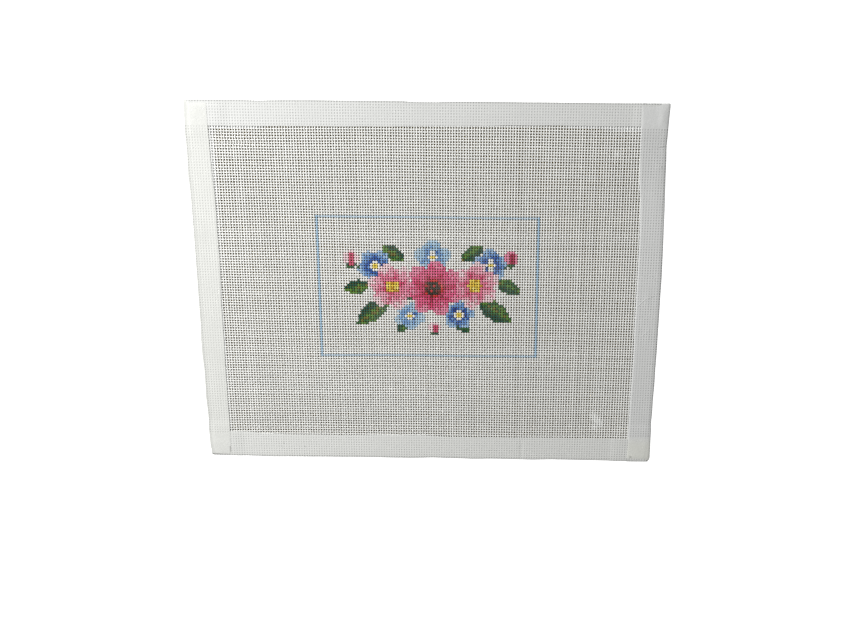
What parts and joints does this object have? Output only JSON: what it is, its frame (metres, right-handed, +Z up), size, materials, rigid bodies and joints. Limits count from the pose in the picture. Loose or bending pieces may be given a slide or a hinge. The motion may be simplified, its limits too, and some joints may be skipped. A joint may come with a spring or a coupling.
{
  "type": "needlepoint canvas panel",
  "caption": "Flat rectangular sheet of open mono canvas for needlepoint, its raw edges bound with folded white tape, with a small painted flower design in a thin frame line.",
  "frame": {"origin": "centre of the outline at the surface that the panel lies on", "axes": "+X along the long side to the right of the design, +Y towards the top edge, +Z up out of the face"},
  "size_m": [0.2515, 0.1974, 0.0042],
  "materials": {
    "canvas": "stiff open cotton mono canvas, matte, hand painted",
    "tape": "matte white paper-faced cloth tape"
  },
  "bodies": {
    "root": {"canvas": "canvas", "binding_top": "tape", "binding_bottom": "tape", "binding_left": "tape", "binding_right": "tape"}
  },
  "joints": []
}
